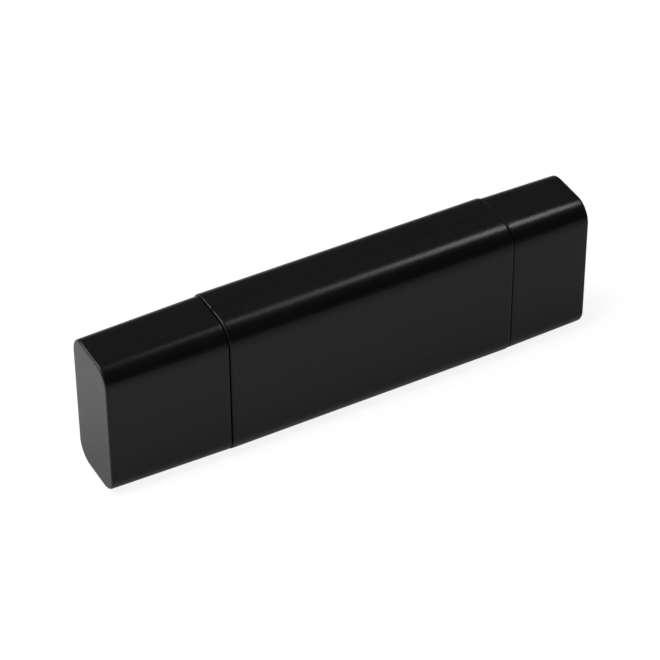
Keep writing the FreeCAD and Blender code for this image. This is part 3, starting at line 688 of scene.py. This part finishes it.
class DRIVE_OT_caps(bpy.types.Operator):
    """Builds the two pull-off caps, with the ribs that guide the plugs into them"""

    bl_idname = "drive.caps"
    bl_label = "Caps"

    # each cap's node, body and plug, and how far in millimetres its wide sides' ribs lie from its middle
    CAPS = (
        ("usb_a_cap", "long_cap", "usb_a_sleeve", (-4.0, 4.0)),
        ("usb_c_cap", "short_cap", "usb_c_sleeve", (-5.0, -2.4, 2.4, 5.0)),
    )
    # rows across a closed end, as shares of its size: one part of the way out, and one near its rounded edge
    END_ROWS = (0.4, 0.93)

    def execute(self, context):
        sizes = context.scene.drive_sizes
        material = spark_eroded_abs(context.scene.drive_colours)
        for node, body, sleeve, offsets in self.CAPS:
            low, high = corners(node)
            mouth_x, end_x = (high[0], low[0]) if high[0] < MIDDLE[0] else (low[0], high[0])
            centre_z = (low[2] + high[2]) / 2
            surfaces = [self.shell(sizes, mouth_x, end_x, centre_z)]
            surfaces += self.ribs(sizes, mouth_x, end_x, centre_z, sleeve, np.array(offsets) * MM)
            piece(node + "_moulding", surfaces, body, material, [node])
        return {"FINISHED"}

    @classmethod
    def shell(cls, sizes, mouth_x, end_x, centre_z):
        """The cap's wall as one profile carried round its outline: over the closed end, down the drafted
        side, round the mouth and back up inside. Its points are (depth from the mouth, inset, share of the
        outline's size)."""
        outward_x = math.copysign(1, end_x - mouth_x)
        depth = abs(end_x - mouth_x)
        draft = math.tan(sizes.cap_draft)
        quarter = np.linspace(0, np.pi / 2, 8)
        turn = list(zip(np.cos(quarter), np.sin(quarter)))
        end_r, floor_r = sizes.cap_end_radius, sizes.least_radius
        lip_r, lead = sizes.cap_mouth_radius, sizes.cap_lead_in
        inset = sizes.cap_inset + depth * draft
        profile = [(depth, inset + end_r, share) for share in cls.END_ROWS]
        profile += [(depth - end_r + end_r * c, inset + end_r - end_r * s, 1) for c, s in turn]
        for at in spaced(depth - end_r, lip_r, count=3, ease=0.03)[1:-1]:
            profile.append((at, sizes.cap_inset + at * draft, 1))
        profile += [(lip_r - lip_r * s, sizes.cap_inset + lip_r - lip_r * c, 1) for c, s in turn]
        inner = sizes.cap_inset + sizes.wall
        profile += [(lead - lead * c, inner - lead + lead * s, 1) for c, s in turn]
        floor = depth - sizes.cap_end_wall
        for at in spaced(lead, floor - floor_r, count=3, ease=0.04)[1:-1]:
            profile.append((at, inner + at * draft, 1))
        inner += floor * draft
        profile += [(floor - floor_r + floor_r * s, inner + floor_r - floor_r * c, 1) for c, s in turn]
        profile += [(floor, inner + floor_r, share) for share in reversed(cls.END_ROWS)]
        loops = []
        for at, inset, share in profile:
            radius = max(sizes.edge_radius - inset, sizes.least_radius)
            ring = full_ring(HALF_Y - inset, HALF_Z - inset, radius, sizes.arc_steps)
            loops.append(stand(mouth_x + outward_x * at, ring * share, centre_z))
        return closed_skin(loops)

    @staticmethod
    def ribs(sizes, mouth_x, end_x, centre_z, sleeve, offsets):
        """Ribs from the cap's floor to near its mouth, on its narrow sides and in pairs on its wide ones."""
        outward_x = math.copysign(1, end_x - mouth_x)
        x0 = mouth_x + outward_x * (sizes.neck_length + sizes.cap_rib_setback)
        x1 = end_x - outward_x * (sizes.cap_end_wall - sizes.root)
        low, high = corners(sleeve)
        near_y = (high[1] - low[1]) / 2 + sizes.cap_rib_gap
        near_z = (high[2] - low[2]) / 2 + sizes.cap_rib_gap
        far_y, far_z = HALF_Y - sizes.wall, HALF_Z - sizes.wall
        half = sizes.rib / 2
        made = []
        for side in (-1, 1):
            made.append(eased_box((x0, -half, centre_z + side * near_z), (x1, half, centre_z + side * far_z)))
            for offset in offsets:
                z = centre_z + offset
                made.append(eased_box((x0, side * near_y, z - half), (x1, side * far_y, z + half)))
        return made


class DRIVE_OT_usb_a_plug(bpy.types.Operator):
    """Builds the USB-A plug: its steel sleeve, plastic blade and block, and two rows of contacts"""

    bl_idname = "drive.usb_a_plug"
    bl_label = "USB-A Plug"

    def execute(self, context):
        sizes, colours = context.scene.drive_sizes, context.scene.drive_colours
        plastic = glass_filled_nylon(colours)
        gold = gold_plate(colours)
        finish("usb_a_sleeve", nickel_plated_steel(colours))
        for node, radius in (("usb_a_blade", sizes.blade_radius), ("usb_a_rear_block", sizes.block_radius)):
            piece(node + "_moulding", [eased_box(*corners(node), radius, steps=4)], "drive",
                  plastic, [node])
        self.front_contacts(sizes, gold)
        self.rear_contacts(sizes, gold)
        return {"FINISHED"}

    @staticmethod
    def front_contacts(sizes, gold):
        """Four flat strips let into the blade, which step down behind it and down again to the board. The two
        outer strips carry power and reach further forward, so that they meet the socket first."""
        low, high = corners("usb_a_front_contacts")
        block_low, block_high = corners("usb_a_rear_block")
        gauge = sizes.strip_gauge
        top, under, tail = high[1] - gauge / 2, -0.9 * MM, low[1] + gauge / 2
        bend = block_low[0] - 2.6 * MM
        slope = 0.8 * MM
        strips = []
        for offset, setback in ((-3.5, 0), (-1.0, 0.8), (1.0, 0.8), (3.5, 0)):
            route = [
                (low[0] + setback * MM, top), (bend, top), (bend + slope, under), (block_high[0], under),
                (block_high[0] + sizes.tail_run, tail), (high[0], tail),
            ]
            strips.append(ribbon(route, gauge, sizes.strip_width, MIDDLE[2] + offset * MM))
        piece("usb_a_front_contact_strips", strips, "drive", gold, ["usb_a_front_contacts"])

    @staticmethod
    def rear_contacts(sizes, gold):
        """Five sprung strips that bow up in front of the block that holds them."""
        low, high = corners("usb_a_rear_contacts")
        block_low, block_high = corners("usb_a_rear_block")
        gauge = sizes.spring_gauge
        tip, crest, heel = 0.06 * MM, 0.42 * MM, 0.18 * MM
        to_crest, to_heel = 1.5 * MM, 0.4 * MM
        tail = corners("circuit_board")[1][1] + gauge / 2
        route = [
            (low[0], tip), (block_low[0] - to_crest, crest), (block_low[0] - to_heel, heel),
            (block_high[0], heel), (block_high[0] + sizes.tail_run, tail), (high[0], tail),
        ]
        strips = [ribbon(route, gauge, sizes.spring_width, MIDDLE[2] + z * MM) for z in (-4, -2, 0, 2, 4)]
        piece("usb_a_rear_contact_springs", strips, "drive", gold, ["usb_a_rear_contacts"])


class DRIVE_OT_usb_c_plug(bpy.types.Operator):
    """Builds the USB-C plug: its steel sleeve, plastic lining, contacts, latch and ground springs"""

    bl_idname = "drive.usb_c_plug"
    bl_label = "USB-C Plug"

    def execute(self, context):
        sizes, colours = context.scene.drive_sizes, context.scene.drive_colours
        steel = nickel_plated_steel(colours)
        plastic = glass_filled_nylon(colours)
        gold = gold_plate(colours)
        for node in ("usb_c_sleeve", "usb_c_latch_plate", "usb_c_ground_springs"):
            finish(node, steel)
        for node in ("usb_c_insulator", "usb_c_rear_block"):
            finish(node, plastic)
        for name, side in (("upper", 1), ("lower", -1)):
            self.contacts(sizes, name, side, gold)
        return {"FINISHED"}

    @staticmethod
    def contacts(sizes, name, side, gold):
        """Twelve fine strips from the board to the plug's mouth, each bowed inwards near its tip."""
        node = f"usb_c_{name}_contacts"
        low, high = corners(node)
        gauge = sizes.spring_gauge
        tail = corners("circuit_board")[1][1] + gauge / 2
        crest, tip = 0.4 * MM, 0.52 * MM
        leaves_block = corners("usb_c_insulator")[0][0] + 1.6 * MM
        crest_x = high[0] - 1.2 * MM
        route = [
            (low[0], side * tail), (leaves_block, side * tail), (crest_x, side * crest),
            (high[0], side * tip),
        ]
        offsets = (np.arange(12) - 5.5) * sizes.fine_pitch
        strips = [ribbon(route, gauge, sizes.fine_width, MIDDLE[2] + z) for z in offsets]
        piece(node + "_strips", strips, "drive", gold, [node])


class DRIVE_OT_board(bpy.types.Operator):
    """Finishes the circuit board and everything soldered to it"""

    bl_idname = "drive.board"
    bl_label = "Board and Components"

    def execute(self, context):
        colours = context.scene.drive_colours
        finish("circuit_board", solder_mask(colours))
        # black epoxy round the chips: matt, and faintly speckled by its silica filler
        epoxy = grained("transfer_moulded_epoxy", colours.resin, 0.07, (0.8, 1.3), (0.5, 0.62), (0.35, 0.01),
                        IOR=1.5)
        for node in ("flash_chip", "controller_chip", "port_switch_chip", "voltage_regulator"):
            finish(node, epoxy)
        # tin melted on in the oven: silvery, softly rippled and slightly uneven in its shine
        tin = grained("reflowed_tin", colours.tin, 0.2, (0.85, 1), (0.22, 0.38), (0.3, 0.01), Metallic=1.0)
        for node in ("flash_chip_leads", "controller_chip_leads", "component_ends", "crystal"):
            finish(node, tin)
        # fired ceramics: tan and chalky, black and glazed, and dark grey and dull
        for node, name, base, spacing, gloss in (
            ("capacitors", "barium_titanate_ceramic", colours.ceramic, 0.1, (0.4, 0.55)),
            ("resistors", "glazed_alumina", colours.resistor, 0.2, (0.18, 0.3)),
            ("power_inductor", "sintered_ferrite", colours.ferrite, 0.06, (0.55, 0.7)),
        ):
            finish(node, grained(name, base, spacing, (0.85, 1.12), gloss, (0.25, 0.008), IOR=1.6))
        return {"FINISHED"}


class DRIVE_OT_stage(bpy.types.Operator):
    """Builds the floor, the lights and the camera"""

    bl_idname = "drive.stage"
    bl_label = "Stage"

    TENT_RADIUS = 3.0  # metres
    CARD_DROP = 0.2 * MM
    # how far inside the drive's foot the card's painted shade is darkest, how far past that it reaches,
    # both in millimetres, and the power of that distance that it follows
    SHADE_INSET, SHADE_REACH, SHADE_CURVE = 2.0, 16.0, 0.35
    # where the card's painted dimming starts and ends, in millimetres from the drive, and the share left
    # there
    CARD_NEAR, CARD_FAR, CARD_EDGE = 40, 420, 0.3
    # how the card's painted light changes along the drive, between two places in millimetres
    LEAN_LIGHT, LEAN_PLACES = (1.09, 0.85), (-45, 45)
    # name, way it lies from the drive, distance, width and height in metres, and radiance
    LIGHTS = (
        ("overhead", (-0.40, 0.05, 0.92), 0.7, 0.5, 0.5, 1.6),
        ("edge_strip", (0.49, 0.0, 0.87), 0.33, 0.09, 0.02, 60.0),
        ("edge_strip_end", (0.29, 0.0, 0.96), 0.33, 0.065, 0.02, 12.0),
        ("rear_strip", (-0.50, 0.32, 0.80), 0.33, 0.09, 0.02, 50.0),
        ("back_fill", (0.36, 0.70, 0.64), 0.8, 0.9, 0.7, 0.11),
        ("left_box", (-0.75, 0.48, 0.45), 0.6, 0.55, 0.24, 10.0),
        ("corner_spark", (-0.62, 0.43, 0.65), 0.5, 0.05, 0.05, 60.0),
    )

    def execute(self, context):
        scene = context.scene
        sheets = self.surroundings(scene)
        self.world(scene)
        self.lights(scene, sheets)
        self.camera(scene)
        scene.view_settings.view_transform = "Standard"
        return {"FINISHED"}

    @classmethod
    def surroundings(cls, scene):
        """A light tent whose floor turns up into a dome. Reflections don't show the tent: they show a bounce
        card just under its floor, a little dimmer, with a painted shade round the drive's foot."""
        turn = np.linspace(0, np.pi / 2, 9)
        flat = np.array([(radius, 0) for radius in (0.05, 0.4, 1.2, cls.TENT_RADIUS)])
        dome = cls.TENT_RADIUS * np.column_stack([np.cos(turn), np.sin(turn)])[1:-1]
        tent = cls.turned("floor", np.concatenate([flat, dome]), cls.lit_acrylic(scene))
        card = cls.turned("bounce_card", flat - (0, cls.CARD_DROP), cls.white_card_with_painted_shade(scene))
        for made, in_view in ((tent, True), (card, False)):
            made.visible_camera = in_view
            made.visible_glossy = not in_view
            made.visible_diffuse = not in_view
            made.visible_shadow = False
        return tent, card

    @staticmethod
    def lit_acrylic(scene):
        """Opal acrylic sheet with its light behind it: white, matt and very faintly cloudy."""
        white = scene.drive_colours.floor
        material, tree, surface, place = blank_material(
            "opal_acrylic_sheet", Roughness=0.7, Specular_IOR_Level=0.2, Emission_Color=(1, 1, 1, 1),
            Emission_Strength=scene.drive_stage.floor_glow)
        cloudy = noise(tree, place, 60.0)
        tree.links.new(tint(tree, cloudy, shade(white, 0.98), white), surface.inputs["Base Color"])
        return material

    @classmethod
    def white_card_with_painted_shade(cls, scene):
        """Glowing white card: painted shade under the drive, full glow a little way out from its foot and
        painted dimming far away. The way out is measured from a box a little inside the drive's foot."""
        glow = scene.drive_stage.card_glow
        material, tree, surface, place = blank_material(
            "white_card_with_painted_shade", Roughness=0.7, Specular_IOR_Level=0.2, Base_Color=(*scene.drive_colours.floor, 1),
            Emission_Color=(1, 1, 1, 1))
        foot = ((HIGH - LOW) / 2 / MM - cls.SHADE_INSET) * (1, 1, 0)
        past = vector_calc(tree, "SUBTRACT", vector_calc(tree, "ABSOLUTE", place), foot)
        past = vector_calc(tree, "MAXIMUM", past, (0, 0, 0))
        way_out = add(tree, "ShaderNodeVectorMath", {0: past}, operation="LENGTH").outputs["Value"]
        # painted shade: the card's glow is darkest a little inside the drive's foot and grows to full past it
        near = remap(tree, way_out, 0, 1, 0, cls.SHADE_REACH)
        near = calc(tree, "POWER", near, cls.SHADE_CURVE)
        # painted dimming: far from the drive the card's glow falls to a share of its full strength
        far = remap(tree, way_out, glow, cls.CARD_EDGE * glow, cls.CARD_NEAR, cls.CARD_FAR)
        # painted light: the card glows a little brighter towards the drive's USB-A end
        along = add(tree, "ShaderNodeSeparateXYZ", {0: place}).outputs["X"]
        painted_lean = remap(tree, along, *cls.LEAN_LIGHT, *cls.LEAN_PLACES)
        strength = calc(tree, "MULTIPLY", calc(tree, "MULTIPLY", near, far), painted_lean)
        tree.links.new(strength, surface.inputs["Emission Strength"])
        return material

    @staticmethod
    def turned(name, outline, material, steps=96):
        """A surface of revolution about Z: each (radius, height) of its outline makes a circle."""
        around = np.linspace(0, 2 * np.pi, steps, endpoint=False)
        radii, heights = outline[:, :1], outline[:, 1:]
        rings = np.stack([radii * np.cos(around), radii * np.sin(around), heights + 0 * around], axis=-1)
        turn = np.arange(steps)
        fan = np.column_stack([turn, (turn + 1) % steps, np.full(steps, rings[..., 0].size)])
        faces = grid_faces(len(outline), steps)[:, ::-1].tolist() + fan.tolist()
        points = np.concatenate([rings.reshape(-1, 3), [(0, 0, heights[0, 0])]])
        return mesh_object(name, points, faces, material)

    @staticmethod
    def world(scene):
        """Dim grey surroundings."""
        world = bpy.data.worlds.new("studio")
        world.use_nodes = True
        background = world.node_tree.nodes["Background"].inputs
        background["Color"].default_value = (1, 1, 1, 1)
        background["Strength"].default_value = scene.drive_stage.world_glow
        scene.world = world

    @classmethod
    def lights(cls, scene, sheets):
        """Soft boxes that face the drive. All but the overhead one leave the floor and the card out, so that
        only that one casts a shadow on them."""
        but_floor = bpy.data.collections.new("all_but_floor")
        for k, sheet in enumerate(sheets):
            but_floor.objects.link(sheet)
            but_floor.collection_objects[k].light_linking.link_state = "EXCLUDE"
        for name, direction, distance, wide, tall, radiance in cls.LIGHTS:
            light = bpy.data.lights.new(name, "AREA")
            light.shape = "RECTANGLE"
            light.size = wide
            light.size_y = tall
            light.energy = radiance * math.pi * wide * tall
            made = bpy.data.objects.new(name, light)
            way = Vector(direction).normalized()
            made.location = Vector(MIDDLE) + way * distance
            made.rotation_euler = way.to_track_quat("Z", "Y").to_euler()
            scene.collection.objects.link(made)
            if name != "overhead":
                made.light_linking.receiver_collection = but_floor

    @staticmethod
    def camera(scene):
        """A long lens from the front, to the left and above."""
        stage = scene.drive_stage
        camera = bpy.data.cameras.new("camera")
        camera.lens = stage.lens
        camera.sensor_width = 36
        camera.clip_start = 0.01
        made = bpy.data.objects.new("camera", camera)
        facing = (Matrix.Rotation(stage.azimuth, 4, "Z")
                  @ Matrix.Rotation(math.pi / 2 - stage.elevation, 4, "X")
                  @ Matrix.Rotation(stage.roll, 4, "Z"))
        place = Matrix.Translation((-stage.slide, -stage.lift, stage.distance))
        made.matrix_world = Matrix.Translation(MIDDLE) @ facing @ place
        scene.collection.objects.link(made)
        scene.camera = made


class DRIVE_PT_panel(bpy.types.Panel):
    """Lists the drive's pieces"""

    bl_label = "Flash Drive"
    bl_space_type = "VIEW_3D"
    bl_region_type = "UI"
    bl_category = "Flash Drive"

    def draw(self, context):
        """One button for each operator."""
        for operator in OPERATORS:
            self.layout.operator(operator.bl_idname)


OPERATORS = (
    DRIVE_OT_half_shells,
    DRIVE_OT_caps,
    DRIVE_OT_usb_a_plug,
    DRIVE_OT_usb_c_plug,
    DRIVE_OT_board,
    DRIVE_OT_stage,
)
SETTINGS = {"drive_sizes": DriveSizes, "drive_colours": DriveColours, "drive_stage": DriveStage}
CLASSES = (*SETTINGS.values(), *OPERATORS, DRIVE_PT_panel)


def register():
    """Adds the classes, and the groups of settings to each scene."""
    for entry in CLASSES:
        bpy.utils.register_class(entry)
    for name, group in SETTINGS.items():
        setattr(bpy.types.Scene, name, PointerProperty(type=group))


def unregister():
    """Takes away what register added."""
    for name in SETTINGS:
        delattr(bpy.types.Scene, name)
    for entry in reversed(CLASSES):
        bpy.utils.unregister_class(entry)


def main():
    """Builds every piece and the stage."""
    register()
    bpy.ops.drive.half_shells()
    bpy.ops.drive.caps()
    bpy.ops.drive.usb_a_plug()
    bpy.ops.drive.usb_c_plug()
    bpy.ops.drive.board()
    bpy.ops.drive.stage()


if __name__ == "__main__":
    main()
